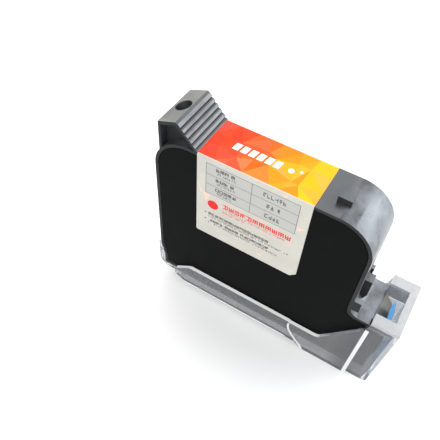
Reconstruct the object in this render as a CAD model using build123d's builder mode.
"""Ink cartridge for a date coder, standing in its clear protective cap.

Millimetres, +Z up.  X runs along the cartridge from heel (-) to nose (+) and Y across its
thickness, front face at -Y.  The origin is the centre of the footprint, on the plane that
the cap stands on.
"""

import os
from math import asin, atan2, cos, degrees, sin, tan

from build123d import *

os.makedirs("parts", exist_ok=True)

# ---------------------------------------------------------------- driving dimensions
# Case
case_length = 71.0             # heel wall to end wall
case_height = 65.2             # underside to top
case_width = 17.0
case_lift = 6.2                # underside above the standing plane
corner_radius = 12.0           # both top corners
neck_radius = 3.5              # where the end wall meets the nose
toe_radius = 0.5
case_wall = 2.4
seat_lip = 1.1                 # edge of the case left standing round a side cover
heel_relief = 1.4              # the heel wall steps in near its foot
heel_relief_height = 5.4
heel_slope_height = 11.6
heel_foot_radius = 0.8
heel_bend_radius = 2.0

# Nose, which carries the print head
nose_rise = 26.3               # nose top above the underside of the case
nose_ridge_reach = 6.8         # full-width shoulder beyond the end wall
nose_reach = 11.4              # front face beyond the end wall
nose_bevel_height = 6.0
nose_width = 11.8
nose_floor = 3.8               # height of the nozzle side
nose_heel_reach = 8.6          # how far the nose runs back under the case
nose_heel_slope = 2.0
nose_wall = 1.7                # each side of the well
well_length = 12.6
well_floor = 2.0
feed_length = 10.0
feed_width = 1.2

# Side covers
cover_thickness = 1.5
cover_gap = 0.25
cover_toe_reach = 6.0          # beyond the end wall
cover_foot = 1.8               # above the underside of the case

# Thumb grip
grip_setback = 1.9             # heel face of the grip from the heel wall
grip_crest_back = 6.8          # from the front foot of the grip back to its crest
grip_crest_height = 7.7
grip_heel_height = 5.4
grip_front_foot = 0.3
grip_crest_round = 0.3
grip_pocket = 3.0
grip_plate = 0.9
grip_hole_radius = 2.65
grip_hole_depth = 6.0
groove_count = 5
groove_width = 0.95            # along the slope, at the surface
groove_floor = 0.35
groove_depth = 0.45

# Label
label_from_heel = 15.3
label_from_end = 19.2
label_thickness = 0.12
label_drop_front = 34.4
label_drop_back = 36.7
label_corner = 2.0

# Key block, datum bosses and gate mark on the case
key_length = 4.2
key_width = 3.0
key_height = 2.2
key_from_label = 4.2
key_offset = -2.0
boss_reach = 2.4
fin_width = 1.7
fin_height = 4.7
fin_top_above_nose = 7.4
fin_inset = 0.2
back_fin_reach = 0.9            # the fin at the back is a shorter stub
back_fin_height = 2.6
back_fin_top_above_nose = 6.4
middle_boss_width = 3.3
middle_boss_offset = 0.35
middle_boss_above_nose = 10.1
middle_boss_face = 7.0
gate_radius = 3.6
gate_drop = 24.5
gate_depth = 0.2

# Inside: film frame, films, plates, spring
frame_gap = 0.15
frame_wall = 1.2
frame_outlet_height = 15.0
film_thickness = 0.25
film_bulge = 1.0
film_border = 5.0
film_cover_gap = 0.35
plate_film_gap = 0.3
plate_end_margin = 11.1        # from the ends of the ink room
plate_edge_margin = 12.2       # from its floor and roof
plate_thickness = 0.5
plate_corner = 4.0
plate_slot_length = 12.0
plate_slot_width = 3.0
spring_thickness = 0.4
spring_height = 9.0
spring_end_margin = 4.0        # from the ends of the plates
spring_gap = 0.1

# Ink outlet
pipe_length = 9.0
pipe_width = 4.8
pipe_height = 13.0
pipe_wall = 1.3
screen_thickness = 0.3
screen_length = 7.0
screen_height = 9.0
ball_radius = 2.0
ball_grip = 0.05
ball_from_heel = 22.0

# Print head
die_length = 14.3
die_width = 7.9
die_thickness = 0.7
head_gap = 0.1
flex_thickness = 0.15
flex_margin = 0.4              # from each side of the nose
flex_bevel_cover = 6.6
nozzle_plate_thickness = 0.1
nozzle_radius = 0.12
nozzle_pitch = 0.9
nozzle_rows = 14
nozzle_row_spread = 3.2
bead_width = 1.4
bead_overhang = 0.35           # past each side of the die
bead_height = 0.15
pad_pitch = 1.5
pad_column_pitch = 1.9
pad_size = 1.1
pad_thickness = 0.08
pad_edge_margin = 1.1          # outer columns from the edge of the flex circuit
pad_top_margin = 1.4
pad_foot_margin = 2.6
tape_thickness = 0.15
tape_margin = 0.5              # from each edge of the flex circuit
tape_turn_rise = 8.2           # the tape leaves the nose this far above its floor
tab_width = 8.6
tab_offset = -1.4
tab_lean = 0.9                  # the tab bows this far away from the nose
tab_curl = 1.2                  # its free end curls this far back over the bevel
tab_above_nose = 2.7
tab_corner = 2.5

# Cap
cap_wall = 1.2
cap_gap = 0.5                  # each side of the case
cap_front_reach = 4.6          # front wall beyond the nose
cap_tray = 2.4                 # underside of the tray above the standing plane
cap_floor = 1.2
cap_front_base = 1.7           # underside of the front of the nose box
cap_front_lean = 1.9           # the front wall leans out by this much
cap_front_wall = 1.3
tray_corner = 3.0
tray_corner_inside = 2.2
rim_above_case = 7.0           # rim along the tray, above the underside of the case
rim_step = 0.4
rim_step_back = 6.65           # the step stands this far behind the foot
rim_step_length = 0.8
rim_rise = 4.8                 # the rim climbs this far at the end wall
rim_rise_back = 2.5
rim_rise_length = 3.9
rim_shoulder_drop = 1.6        # the rim runs this far below the nose top
rim_shoulder_back = 0.6
foot_heel_gap = 1.75           # foot starts this far behind the nose
foot_slope = 2.85
foot_slope_shift = 0.6         # inner slope of the foot stands this far forward
tongue_above_case = 10.7
tongue_wall = 1.3
tongue_gap = 0.4
tongue_width = 15.0
side_start = 8.7               # side walls begin this far from the heel
side_foot_rise = 2.6           # their lower heel corner is cut off
side_foot_slope = 4.4
side_foot_rise_inside = 2.3
side_foot_slope_inside = 3.9
side_start_above_case = 2.3
side_ramp = 6.5
hood_clearance = 2.9           # above the nose
hood_thickness = 1.2
hood_gap = 0.4
hood_lip = 6.0
hood_lip_wall = 0.8
hood_setback = 0.5             # hood ends this far inside the front wall
front_bar = 2.4
window_depth = 0.4
window_width = 10.6
window_offset = -3.3
window_low = 4.2
window_top_drop = 7.6
window_radius = 0.8
notch_length = 11.0
notch_height = 3.2
skid_width = 1.2
skid_spread = 8.0
skid_setback = 4.0
rest_rib_count = 3
rest_rib_width = 1.0
rest_rib_length = 12.0
rest_gap = 0.3
ridge_lean = 0.9               # ridge beside the nose leans forward by this much
ridge_top_drop = 5.0
s_rib_width = 0.7
s_rib_top_drop = 0.8
trim_proud = 0.4
trim_width = 1.2
join = 0.3                     # overlap where two volumes of one piece meet
overcut = 1.0                  # a cutting shape runs this far past the piece

# ---------------------------------------------------------------- derived places
overall_length = tongue_wall + tongue_gap + case_length + nose_reach + cap_front_reach
front_x = overall_length / 2
tongue_x = -front_x + tongue_wall
heel_x = tongue_x + tongue_gap
end_x = heel_x + case_length
top_z = case_lift + case_height
half_width = case_width / 2
ridge_x = end_x + nose_ridge_reach
nose_x = end_x + nose_reach
nose_heel_x = end_x - nose_heel_reach
nose_top_z = case_lift + nose_rise
bevel_z = nose_top_z - nose_bevel_height
nose_half = nose_width / 2
label_heel_x = heel_x + label_from_heel
label_toe_x = end_x - label_from_end
cavity_half = half_width - cover_thickness
cavity_floor = case_lift + case_wall
well_width = nose_width - 2 * nose_wall
cap_inner = half_width + cap_gap
cap_outer = cap_inner + cap_wall
cap_height = nose_top_z + hood_clearance + hood_thickness
cap_rim = case_lift + rim_above_case
tongue_top_z = case_lift + tongue_above_case
die_x = (nose_heel_x + nose_heel_slope + nose_x) / 2


def side_plane(y):
    """Plane of a side sketch at the given Y: local x is X, local y is Z."""
    return Plane(origin=(0, y, 0), x_dir=(1, 0, 0), z_dir=(0, -1, 0))


def outline(*corners):
    """Face inside the closed outline through corners given as (x, z, radius)."""
    with BuildLine() as edge:
        FilletPolyline(
            [(x, z) for x, z, _ in corners],
            radius=[radius for _, _, radius in corners],
            close=True,
        )
    make_face(edge.line.edges())


def fill_y(near, far, mode=Mode.ADD):
    """Extrude the pending side sketch, drawn at near, as far as far."""
    extrude(amount=far - near, dir=(0, 1, 0), mode=mode)


def box_between(low, high, mode=Mode.ADD):
    """Box given by two opposite corners."""
    centre = tuple((a + b) / 2 for a, b in zip(low, high))
    size = tuple(b - a for a, b in zip(low, high))
    with Locations(centre):
        Box(*size, mode=mode)


def case_outline(inset, floor_z, toe_x, toe_z):
    """Side view of the case: rounded box with a foot running out to toe_x."""
    left = heel_x + inset
    right = end_x - inset
    radius = corner_radius - inset
    outline(
        (left + heel_relief, floor_z, heel_foot_radius),
        (left + heel_relief, case_lift + heel_relief_height, heel_foot_radius),
        (left, case_lift + heel_slope_height, heel_bend_radius),
        (left, top_z - inset, radius),
        (right, top_z - inset, radius),
        (right, toe_z, neck_radius),
        (toe_x, toe_z, toe_radius),
        (toe_x, floor_z, toe_radius),
    )


def room_outline(gap, border=0.0):
    """Side view of the ink room, drawn in by gap at its walls and by border all round."""
    inset = case_wall + gap + border
    left = heel_x + inset
    right = end_x - inset
    floor_z = cavity_floor + border
    radius = corner_radius - inset
    outline(
        (left + heel_relief, floor_z, heel_foot_radius),
        (left + heel_relief, floor_z + heel_relief_height, heel_foot_radius),
        (left, floor_z + heel_slope_height, heel_bend_radius),
        (left, top_z - inset, radius),
        (right, top_z - inset, radius),
        (right, floor_z, heel_foot_radius),
    )


# ---------------------------------------------------------------- thumb grip (part of the case)
crest_x = label_heel_x - grip_crest_back
grip_heel_x = heel_x + grip_setback
crest_z = top_z + grip_crest_height
grip_heel_z = top_z + grip_heel_height
grip_foot_z = top_z + grip_front_foot
grip_front_angle = atan2(crest_z - grip_foot_z, grip_crest_back)
grip_top_angle = atan2(crest_z - grip_heel_z, crest_x - grip_heel_x)
grip_front_inset = grip_plate / sin(grip_front_angle)
arc_x = heel_x + corner_radius
arc_z = top_z - corner_radius
root_radius = corner_radius - case_wall / 2
root_start = asin((arc_x - grip_heel_x) / root_radius)

with BuildPart() as grip:
    with BuildSketch(side_plane(-half_width)):
        with BuildLine():
            Polyline(
                (arc_x - root_radius * sin(root_start), arc_z + root_radius * cos(root_start)),
                (grip_heel_x, grip_heel_z),
                (crest_x - 2 * grip_crest_round, crest_z),
                (crest_x + grip_crest_round, crest_z - grip_crest_round),
                (label_heel_x, grip_foot_z),
                (label_heel_x, top_z - case_wall / 2),
                (arc_x, top_z - case_wall / 2),
                (
                    arc_x - root_radius * sin(root_start / 2),
                    arc_z + root_radius * cos(root_start / 2),
                ),
                close=True,
            )
        make_face()
    fill_y(-half_width, half_width)
    # hollow sides, leaving a thin top, heel and front plate round a central web
    for pocket_y in (-half_width, half_width - grip_pocket):
        with BuildSketch(side_plane(pocket_y)):
            with BuildLine():
                Polyline(
                    (grip_heel_x + grip_plate, arc_z),
                    (grip_heel_x + grip_plate, grip_heel_z - grip_plate),
                    (crest_x - grip_plate / 2, crest_z - grip_plate - grip_crest_round),
                    (label_heel_x - grip_front_inset, grip_foot_z),
                    (label_heel_x - grip_front_inset, arc_z),
                    close=True,
                )
            make_face()
        fill_y(pocket_y, pocket_y + grip_pocket, Mode.SUBTRACT)
    # grip grooves across the sloping front, each with a square upper side and a ramped lower one
    with BuildSketch(side_plane(-half_width)):
        for index in range(groove_count):
            along = (index + 0.9) / (groove_count + 0.5)
            groove_x = crest_x + along * grip_crest_back
            groove_z = crest_z - along * (crest_z - grip_foot_z)
            with Locations((groove_x, groove_z)):
                Polygon(
                    (0, overcut),
                    (0, -groove_depth),
                    (groove_floor, -groove_depth),
                    (groove_width, 0),
                    (groove_width, overcut),
                    rotation=-degrees(grip_front_angle),
                    align=None,
                )
    fill_y(-half_width, half_width, Mode.SUBTRACT)
    # blind hole square to the sloping top
    hole_axis = (-sin(grip_top_angle), 0, cos(grip_top_angle))
    hole_mouth = Plane(
        origin=((crest_x + grip_heel_x) / 2, 0, (crest_z + grip_heel_z) / 2),
        x_dir=(0, 1, 0),
        z_dir=hole_axis,
    )
    with BuildSketch(hole_mouth.offset(overcut)):
        Circle(grip_hole_radius)
    extrude(amount=-(grip_hole_depth + overcut), mode=Mode.SUBTRACT)

# ---------------------------------------------------------------- case
with BuildPart() as case_body:
    with BuildSketch(side_plane(-half_width)):
        case_outline(0, case_lift, ridge_x, nose_top_z)
    fill_y(-half_width, half_width)
    add(grip.part)
    # nose
    with BuildSketch(side_plane(-nose_half)):
        with BuildLine():
            Polyline(
                (nose_heel_x, case_lift + join),
                (nose_heel_x, case_lift),
                (nose_heel_x + nose_heel_slope, nose_floor),
                (nose_x, nose_floor),
                (nose_x, bevel_z),
                (ridge_x, nose_top_z),
                (end_x, nose_top_z),
                (end_x, case_lift + join),
                close=True,
            )
        make_face()
    fill_y(-nose_half, nose_half)
    # seats for the side covers
    for seat_y in (-half_width, cavity_half):
        with BuildSketch(side_plane(seat_y)):
            case_outline(
                seat_lip,
                case_lift + cover_foot - cover_gap,
                end_x + cover_toe_reach + cover_gap,
                nose_top_z - seat_lip,
            )
        fill_y(seat_y, seat_y + cover_thickness, Mode.SUBTRACT)
    # ink room, open to both sides behind the covers
    with BuildSketch(side_plane(-half_width)):
        room_outline(0)
    fill_y(-half_width, half_width, Mode.SUBTRACT)
    # well in the nose, feed slot and pocket for the die
    box_between(
        (die_x - well_length / 2, -well_width / 2, nose_floor + well_floor),
        (die_x + well_length / 2, well_width / 2, bevel_z),
        Mode.SUBTRACT,
    )
    box_between(
        (die_x - feed_length / 2, -feed_width / 2, nose_floor - overcut),
        (die_x + feed_length / 2, feed_width / 2, nose_floor + well_floor),
        Mode.SUBTRACT,
    )
    box_between(
        (die_x - die_length / 2 - head_gap, -die_width / 2 - head_gap, nose_floor - overcut),
        (die_x + die_length / 2 + head_gap, die_width / 2 + head_gap, nose_floor + die_thickness),
        Mode.SUBTRACT,
    )
    # fill port through the floor
    with Locations((heel_x + ball_from_heel, 0, case_lift + case_wall / 2)):
        Cylinder(ball_radius - ball_grip, 2 * case_wall, mode=Mode.SUBTRACT)
    # key block on the top
    key_x = label_toe_x + key_from_label
    box_between(
        (key_x, key_offset - key_width / 2, top_z - join),
        (key_x + key_length, key_offset + key_width / 2, top_z + key_height),
    )
    # datum bosses above the nose: a fin at each side and a gusseted block between
    for fin_low, reach, height, top in (
        (-half_width + fin_inset, boss_reach, fin_height, fin_top_above_nose),
        (
            half_width - fin_inset - fin_width,
            back_fin_reach,
            back_fin_height,
            back_fin_top_above_nose,
        ),
    ):
        box_between(
            (end_x - join, fin_low, nose_top_z + top - height),
            (end_x + reach, fin_low + fin_width, nose_top_z + top),
        )
    boss_low = middle_boss_offset - middle_boss_width / 2
    with BuildSketch(side_plane(boss_low)):
        with BuildLine():
            Polyline(
                (end_x - join, nose_top_z - join),
                (end_x - join, nose_top_z + middle_boss_above_nose),
                (end_x + boss_reach, nose_top_z + middle_boss_above_nose),
                (end_x + boss_reach, nose_top_z + middle_boss_above_nose - middle_boss_face),
                (end_x + boss_reach / 2, nose_top_z - join),
                close=True,
            )
        make_face()
    fill_y(boss_low, boss_low + middle_boss_width)
    # gate mark on the end wall
    gate_plane = Plane(
        origin=(end_x, 0, top_z - gate_drop), x_dir=(0, 1, 0), z_dir=(1, 0, 0)
    )
    with BuildSketch(gate_plane):
        Circle(gate_radius)
    extrude(amount=-gate_depth, mode=Mode.SUBTRACT)

case_body.part.label = "case_body"
export_step(case_body.part, "parts/case_body.step")

# ---------------------------------------------------------------- side covers
for cover_name, cover_y in (("side_cover_front", -half_width), ("side_cover_back", cavity_half)):
    with BuildPart() as side_cover:
        with BuildSketch(side_plane(cover_y)):
            case_outline(
                seat_lip + cover_gap,
                case_lift + cover_foot,
                end_x + cover_toe_reach,
                nose_top_z - seat_lip - cover_gap,
            )
        fill_y(cover_y, cover_y + cover_thickness)
    side_cover.part.label = cover_name
    export_step(side_cover.part, f"parts/{cover_name}.step")

# ---------------------------------------------------------------- film frame
film_crown = cavity_half - film_cover_gap
frame_half_width = film_crown - film_bulge - film_thickness
outlet_half_width = well_width / 2 - overcut

with BuildPart() as inner_frame:
    with BuildSketch(side_plane(-frame_half_width)):
        room_outline(frame_gap)
    fill_y(-frame_half_width, frame_half_width)
    with BuildSketch(side_plane(-frame_half_width)):
        room_outline(frame_gap, frame_wall)
    fill_y(-frame_half_width, frame_half_width, Mode.SUBTRACT)
    # outlet towards the well in the nose
    box_between(
        (end_x - case_wall - 4 * frame_wall, -outlet_half_width, cavity_floor + frame_wall),
        (end_x, outlet_half_width, cavity_floor + frame_wall + frame_outlet_height),
        Mode.SUBTRACT,
    )
    # clearance for the head of the fill ball
    with Locations((heel_x + ball_from_heel, 0, cavity_floor)):
        Cylinder(ball_radius + head_gap, 4 * frame_wall, mode=Mode.SUBTRACT)

inner_frame.part.label = "inner_frame"
export_step(inner_frame.part, "parts/inner_frame.step")

# ---------------------------------------------------------------- ink bag films
for film_name, side in (("film_front", -1), ("film_back", 1)):
    flange_y = sorted((side * frame_half_width, side * (frame_half_width + film_thickness)))
    panel_y = sorted((side * frame_half_width, side * film_crown))
    hollow_y = sorted((side * frame_half_width, side * (film_crown - film_thickness)))
    with BuildPart() as film:
        with BuildSketch(side_plane(flange_y[0])):
            room_outline(frame_gap)
        fill_y(*flange_y)
        with BuildSketch(side_plane(panel_y[0])):
            room_outline(frame_gap, film_border)
        fill_y(*panel_y)
        with BuildSketch(side_plane(hollow_y[0])):
            room_outline(frame_gap, film_border + film_thickness)
        fill_y(*hollow_y, Mode.SUBTRACT)
    film.part.label = film_name
    export_step(film.part, f"parts/{film_name}.step")

# ---------------------------------------------------------------- pressure plates
plate_x = (heel_x + end_x) / 2
plate_z = (cavity_floor + top_z - case_wall) / 2
plate_length = case_length - 2 * (case_wall + plate_end_margin)
plate_height = top_z - case_wall - cavity_floor - 2 * plate_edge_margin
plate_inner = film_crown - film_thickness - plate_film_gap - plate_thickness

for plate_name, side in (("plate_front", -1), ("plate_back", 1)):
    plate_y = sorted((side * plate_inner, side * (plate_inner + plate_thickness)))
    with BuildPart() as plate:
        with BuildSketch(side_plane(plate_y[0])):
            with Locations((plate_x, plate_z)):
                RectangleRounded(plate_length, plate_height, plate_corner)
            with Locations(
                (plate_x, plate_z - plate_height / 3), (plate_x, plate_z + plate_height / 3)
            ):
                SlotOverall(plate_slot_length, plate_slot_width, mode=Mode.SUBTRACT)
        fill_y(*plate_y)
    plate.part.label = plate_name
    export_step(plate.part, f"parts/{plate_name}.step")

# ---------------------------------------------------------------- bow spring between the plates
spring_half = plate_inner - spring_gap
spring_length = plate_length - 2 * spring_end_margin

with BuildPart() as bow_spring:
    with BuildSketch(Plane.XY.offset(plate_z - spring_height / 2)):
        with Locations((plate_x, 0)):
            Ellipse(spring_length / 2, spring_half)
            Ellipse(
                spring_length / 2 - spring_thickness,
                spring_half - spring_thickness,
                mode=Mode.SUBTRACT,
            )
    extrude(amount=spring_height)

bow_spring.part.label = "bow_spring"
export_step(bow_spring.part, "parts/bow_spring.step")

# ---------------------------------------------------------------- ink outlet
pipe_floor = nose_floor + well_floor

with BuildPart() as standpipe:
    box_between(
        (die_x - pipe_length / 2, -pipe_width / 2, pipe_floor),
        (die_x + pipe_length / 2, pipe_width / 2, pipe_floor + pipe_height),
    )
    box_between(
        (die_x - pipe_length / 2 + pipe_wall, -pipe_width / 2 + pipe_wall, pipe_floor),
        (
            die_x + pipe_length / 2 - pipe_wall,
            pipe_width / 2 - pipe_wall,
            pipe_floor + pipe_height - pipe_wall,
        ),
        Mode.SUBTRACT,
    )
    # side windows that the filter screens cover
    with Locations((die_x, 0, pipe_floor + pipe_height / 2)):
        Box(
            screen_length - pipe_wall,
            2 * pipe_width,
            screen_height - pipe_wall,
            mode=Mode.SUBTRACT,
        )

standpipe.part.label = "standpipe"
export_step(standpipe.part, "parts/standpipe.step")

for screen_name, side in (("screen_front", -1), ("screen_back", 1)):
    with BuildPart() as screen:
        screen_y = side * (pipe_width + screen_thickness) / 2
        with Locations((die_x, screen_y, pipe_floor + pipe_height / 2)):
            Box(screen_length, screen_thickness, screen_height)
    screen.part.label = screen_name
    export_step(screen.part, f"parts/{screen_name}.step")

with BuildPart() as fill_ball:
    with Locations((heel_x + ball_from_heel, 0, case_lift + ball_radius)):
        Sphere(ball_radius)

fill_ball.part.label = "fill_ball"
export_step(fill_ball.part, "parts/fill_ball.step")

# ---------------------------------------------------------------- print head
with BuildPart() as die:
    box_between(
        (die_x - die_length / 2, -die_width / 2, nose_floor),
        (die_x + die_length / 2, die_width / 2, nose_floor + die_thickness),
    )
    box_between(
        (die_x - feed_length / 2, -feed_width / 2, nose_floor),
        (die_x + feed_length / 2, feed_width / 2, nose_floor + die_thickness),
        Mode.SUBTRACT,
    )

die.part.label = "die"
export_step(die.part, "parts/die.step")

with BuildPart() as nozzle_plate:
    box_between(
        (die_x - die_length / 2, -die_width / 2, nose_floor - nozzle_plate_thickness),
        (die_x + die_length / 2, die_width / 2, nose_floor),
    )
    with BuildSketch(Plane.XY.offset(nose_floor)):
        with Locations((die_x, 0)):
            with GridLocations(nozzle_pitch, nozzle_row_spread, nozzle_rows, 2):
                Circle(nozzle_radius)
    extrude(amount=-nozzle_plate_thickness, mode=Mode.SUBTRACT)

nozzle_plate.part.label = "nozzle_plate"
export_step(nozzle_plate.part, "parts/nozzle_plate.step")

bevel_angle = atan2(nose_x - ridge_x, nose_bevel_height)
flex_width = nose_width - 2 * flex_margin
flex_heel_x = nose_heel_x + nose_heel_slope + head_gap
flex_end_x = nose_x - flex_bevel_cover * sin(bevel_angle)
flex_end_z = bevel_z + flex_bevel_cover * cos(bevel_angle)

with BuildPart() as flex_circuit:
    with BuildSketch(side_plane(-flex_width / 2)):
        with BuildLine():
            Polyline(
                (flex_heel_x, nose_floor),
                (nose_x, nose_floor),
                (nose_x, bevel_z),
                (flex_end_x, flex_end_z),
                (
                    flex_end_x + flex_thickness * cos(bevel_angle),
                    flex_end_z + flex_thickness * sin(bevel_angle),
                ),
                (nose_x + flex_thickness, bevel_z + flex_thickness * tan(bevel_angle / 2)),
                (nose_x + flex_thickness, nose_floor - flex_thickness),
                (flex_heel_x, nose_floor - flex_thickness),
                close=True,
            )
        make_face()
    fill_y(-flex_width / 2, flex_width / 2)
    # window for the die
    with Locations((die_x, 0, nose_floor)):
        Box(
            die_length + 2 * head_gap,
            die_width + 2 * head_gap,
            4 * flex_thickness,
            mode=Mode.SUBTRACT,
        )

flex_circuit.part.label = "flex_circuit"
export_step(flex_circuit.part, "parts/flex_circuit.step")

pad_x = nose_x + flex_thickness
pad_top_z = bevel_z - pad_top_margin
pad_rows = int((pad_top_z - nose_floor - pad_foot_margin) / pad_pitch) + 1
pad_outer = flex_width / 2 - pad_edge_margin
pad_inner = pad_outer - pad_column_pitch

with BuildPart() as contact_pads:
    for column in (-pad_outer, -pad_inner, pad_inner, pad_outer):
        for row in range(pad_rows):
            with Locations((pad_x + pad_thickness / 2, column, pad_top_z - row * pad_pitch)):
                Box(pad_thickness, pad_size, pad_size)

contact_pads.part.label = "contact_pads"
export_step(contact_pads.part, "parts/contact_pads.step")

bead_length = die_width + 2 * bead_overhang

with BuildPart() as encapsulant:
    for end in (-1, 1):
        bead_x = die_x + end * (die_length / 2 + head_gap)
        with Locations((bead_x, 0, nose_floor - flex_thickness - bead_height / 2)):
            Box(bead_width, bead_length, bead_height)

encapsulant.part.label = "encapsulant"
export_step(encapsulant.part, "parts/encapsulant.step")

# ---------------------------------------------------------------- nozzle tape with its pull tab
tape_top_z = nose_floor - flex_thickness - bead_height
tape_x = pad_x + pad_thickness
tape_heel_x = flex_heel_x + 2 * tape_margin
tape_width = flex_width - 2 * tape_margin
tape_turn_z = nose_floor + tape_turn_rise
tab_top_z = nose_top_z + tab_above_nose

tab_low = tab_offset - tab_width / 2
tab_middle_z = (tape_turn_z + tab_top_z) / 2

with BuildPart() as pull_tab:
    with BuildSketch(side_plane(tab_low)):
        with BuildLine():
            near, far = [
                ThreePointArc(
                    (tape_x + offset, tape_turn_z),
                    (tape_x + tab_lean + offset, tab_middle_z),
                    (tape_x - tab_curl + offset, tab_top_z),
                )
                for offset in (0, tape_thickness)
            ]
            Line(near @ 0, far @ 0)
            Line(near @ 1, far @ 1)
        make_face()
    fill_y(tab_low, tab_low + tab_width)
    # round the corners of the free end
    with BuildSketch(Plane(origin=(tape_x - 2 * tab_curl, 0, 0), x_dir=(0, 1, 0), z_dir=(1, 0, 0))):
        with Locations((tab_offset, (tape_turn_z - tab_corner + tab_top_z) / 2)):
            RectangleRounded(tab_width, tab_top_z - tape_turn_z + tab_corner, tab_corner)
    extrude(amount=4 * tab_curl, mode=Mode.INTERSECT)

with BuildPart() as nozzle_tape:
    with BuildSketch(side_plane(-tape_width / 2)):
        with BuildLine():
            Polyline(
                (tape_heel_x, tape_top_z - tape_thickness),
                (tape_heel_x, tape_top_z),
                (tape_x, tape_top_z),
                (tape_x, tape_turn_z),
                (tape_x + tape_thickness, tape_turn_z),
                (tape_x + tape_thickness, tape_top_z - tape_thickness),
                close=True,
            )
        make_face()
    fill_y(-tape_width / 2, tape_width / 2)
    add(pull_tab.part)

nozzle_tape.part.label = "nozzle_tape"
export_step(nozzle_tape.part, "parts/nozzle_tape.step")

# ---------------------------------------------------------------- label, wrapped over the top
label_outer = half_width + label_thickness

with BuildPart() as label:
    box_between(
        (label_heel_x, -label_outer, top_z),
        (label_toe_x, label_outer, top_z + label_thickness),
    )
    with BuildSketch(side_plane(-label_outer)):
        with BuildLine():
            Polyline(
                (label_heel_x, top_z),
                (label_toe_x, top_z),
                (label_toe_x, top_z - label_drop_front + label_corner),
                (label_toe_x - label_corner, top_z - label_drop_front),
                (label_heel_x, top_z - label_drop_front),
                close=True,
            )
        make_face()
    fill_y(-label_outer, -half_width)
    box_between(
        (label_heel_x, half_width, top_z - label_drop_back),
        (label_toe_x, label_outer, top_z),
    )

label.part.label = "label"
export_step(label.part, "parts/label.step")

# ---------------------------------------------------------------- clear cap
foot_x = nose_heel_x - foot_heel_gap
front_foot_x = front_x - cap_front_lean
floor_top = cap_tray + cap_floor
side_x = -front_x + side_start
hood_x = ridge_x + hood_gap
hood_half = nose_half + hood_gap
rim_step_x = foot_x - rim_step_back
rim_low_z = cap_rim - rim_step
rim_rise_x = end_x - rim_rise_back
ridge_top_x = ridge_x + ridge_lean
ridge_top_z = cap_height - ridge_top_drop
inner_slope_x = foot_x + foot_slope_shift

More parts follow.
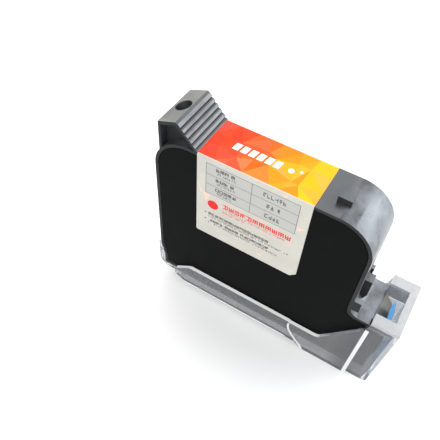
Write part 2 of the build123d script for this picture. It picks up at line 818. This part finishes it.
with BuildPart() as cap:
    with BuildSketch(side_plane(-cap_outer)):
        outline(
            (-front_x, cap_height, 0),
            (-front_x, cap_tray + tray_corner, 1.0),
            (-front_x + tray_corner, cap_tray, 1.0),
            (foot_x - foot_slope, cap_tray, 1.0),
            (foot_x, 0, 0.6),
            (ridge_x, 0, 0.4),
            (ridge_x, cap_front_base, 0.4),
            (front_foot_x, cap_front_base, 1.0),
            (front_x, cap_height, 0),
        )
    fill_y(-cap_outer, cap_outer)
    # inside of the tray and of the nose box
    with BuildSketch(side_plane(-cap_inner)):
        outline(
            (tongue_x, cap_height + overcut, 0),
            (tongue_x, floor_top + tray_corner_inside, 0.6),
            (tongue_x + tray_corner_inside, floor_top, 0.6),
            (inner_slope_x - foot_slope, floor_top, 0.6),
            (inner_slope_x, cap_floor, 0.4),
            (ridge_x - cap_wall, cap_floor, 0.3),
            (ridge_x - cap_wall, cap_front_base + cap_floor, 0.3),
            (front_foot_x - cap_front_wall, cap_front_base + cap_floor, 0.6),
            (front_x - cap_front_wall, cap_height + overcut, 0),
        )
    fill_y(-cap_inner, cap_inner, Mode.SUBTRACT)
    # everything above the rim
    with BuildSketch(side_plane(-cap_outer)):
        outline(
            (-front_x - overcut, tongue_top_z, 0),
            (tongue_x, tongue_top_z, 0),
            (tongue_x, floor_top + tray_corner_inside, 0),
            (side_x, floor_top + tray_corner_inside, 0),
            (side_x, case_lift + side_start_above_case, 1.5),
            (side_x + side_ramp, cap_rim, 2.0),
            (rim_step_x, cap_rim, 0.4),
            (rim_step_x + rim_step_length, rim_low_z, 0.4),
            (rim_rise_x - rim_rise_length, rim_low_z, 3.0),
            (rim_rise_x, cap_rim + rim_rise, 4.0),
            (ridge_x - rim_shoulder_back, nose_top_z - rim_shoulder_drop, 1.5),
            (ridge_top_x, cap_height, 0),
            (ridge_top_x, cap_height + overcut, 0),
            (-front_x - overcut, cap_height + overcut, 0),
        )
    fill_y(-cap_outer, cap_outer, Mode.SUBTRACT)
    # narrow the heel to the tongue, and cut the lower heel corners of the side walls
    for side in (-1, 1):
        inner_y, wall_y, outer_y = (
            side * tongue_width / 2,
            side * (cap_inner + join),
            side * (cap_outer + overcut),
        )
        trim_y = sorted((inner_y, outer_y))
        box_between(
            (-front_x - overcut, trim_y[0], -overcut),
            (side_x, trim_y[1], tongue_top_z + overcut),
            Mode.SUBTRACT,
        )
        with BuildSketch(side_plane(min(inner_y, wall_y))):
            with BuildLine():
                Polyline(
                    (side_x, floor_top - join),
                    (side_x, floor_top + side_foot_rise_inside),
                    (side_x + side_foot_slope_inside, floor_top),
                    (side_x + side_foot_slope_inside, floor_top - join),
                    close=True,
                )
            make_face()
        fill_y(min(inner_y, wall_y), max(inner_y, wall_y))
        with BuildSketch(side_plane(trim_y[0])):
            with BuildLine():
                Polyline(
                    (side_x - overcut, cap_tray - overcut),
                    (side_x - overcut, cap_tray + side_foot_rise),
                    (side_x, cap_tray + side_foot_rise),
                    (side_x + side_foot_slope, cap_tray),
                    (side_x + side_foot_slope, cap_tray - overcut),
                    close=True,
                )
            make_face()
        fill_y(*trim_y, Mode.SUBTRACT)
    # hood round the mouth of the nose box: two side bars with lips and a front bar
    for side in (-1, 1):
        bar_y = sorted((side * hood_half, side * cap_outer))
        lip_y = sorted((side * hood_half, side * (hood_half + hood_lip_wall)))
        box_between(
            (hood_x, bar_y[0], cap_height - hood_thickness),
            (front_x - hood_setback, bar_y[1], cap_height),
        )
        box_between(
            (hood_x, lip_y[0], cap_height - hood_thickness - hood_lip),
            (front_x - 2 * hood_setback, lip_y[1], cap_height),
        )
    box_between(
        (front_x - front_bar, -cap_outer, cap_height - hood_thickness),
        (front_x - hood_setback, cap_outer, cap_height),
    )
    # shallow window in the leaning front wall
    lean = atan2(cap_front_lean, cap_height - cap_front_base)
    window_plane = Plane(
        origin=(front_foot_x, 0, cap_front_base),
        x_dir=(0, 1, 0),
        z_dir=(cos(lean), 0, -sin(lean)),
    )
    window_high = cap_height - window_top_drop
    with BuildSketch(window_plane):
        with Locations((window_offset, (window_low + window_high) / 2)):
            RectangleRounded(window_width, window_high - window_low, window_radius)
    extrude(amount=-window_depth, mode=Mode.SUBTRACT)
    # finger notch low in the back wall, between the two ends of the foot
    notch_x = (foot_x + ridge_x) / 2
    box_between(
        (notch_x - notch_length / 2, cap_inner - overcut, -overcut),
        (notch_x + notch_length / 2, cap_outer + overcut, notch_height),
        Mode.SUBTRACT,
    )
    # skids under the tray and rests inside it
    for skid_y in (-skid_spread / 2, skid_spread / 2):
        box_between(
            (-front_x + skid_setback, skid_y - skid_width / 2, 0),
            (foot_x - join, skid_y + skid_width / 2, cap_tray + join),
        )
    for index in range(rest_rib_count):
        rib_x = side_x + (index + 0.5) * (foot_x - foot_slope - side_x) / rest_rib_count
        box_between(
            (rib_x - rest_rib_width / 2, -rest_rib_length / 2, floor_top - join),
            (rib_x + rest_rib_width / 2, rest_rib_length / 2, case_lift - rest_gap),
        )
    # moulded trim outside both walls: a ridge beside the nose and an S rib by the foot
    for trim_y in (-cap_outer - trim_proud, cap_inner + join):
        with BuildSketch(side_plane(trim_y)):
            with BuildLine():
                Polyline(
                    (ridge_x - trim_width, 0),
                    (ridge_x, 0),
                    (ridge_top_x, ridge_top_z),
                    (ridge_top_x - trim_width, ridge_top_z),
                    close=True,
                )
            make_face()
            with BuildLine():
                s_near = Spline(
                    (rim_step_x, cap_rim - s_rib_top_drop),
                    (rim_step_x + s_rib_width, cap_rim / 2 + 2.0),
                    (foot_x - foot_slope, cap_rim / 3),
                    (foot_x + 0.2, 0.6),
                )
                s_far = Spline([point + Vector(s_rib_width, 0) for point in (
                    s_near @ 0, s_near @ 0.33, s_near @ 0.66, s_near @ 1)])
                Line(s_near @ 0, s_far @ 0)
                Line(s_near @ 1, s_far @ 1)
            make_face()
        fill_y(trim_y, trim_y + trim_proud + cap_wall - join)

cap.part.label = "cap"
export_step(cap.part, "parts/cap.step")
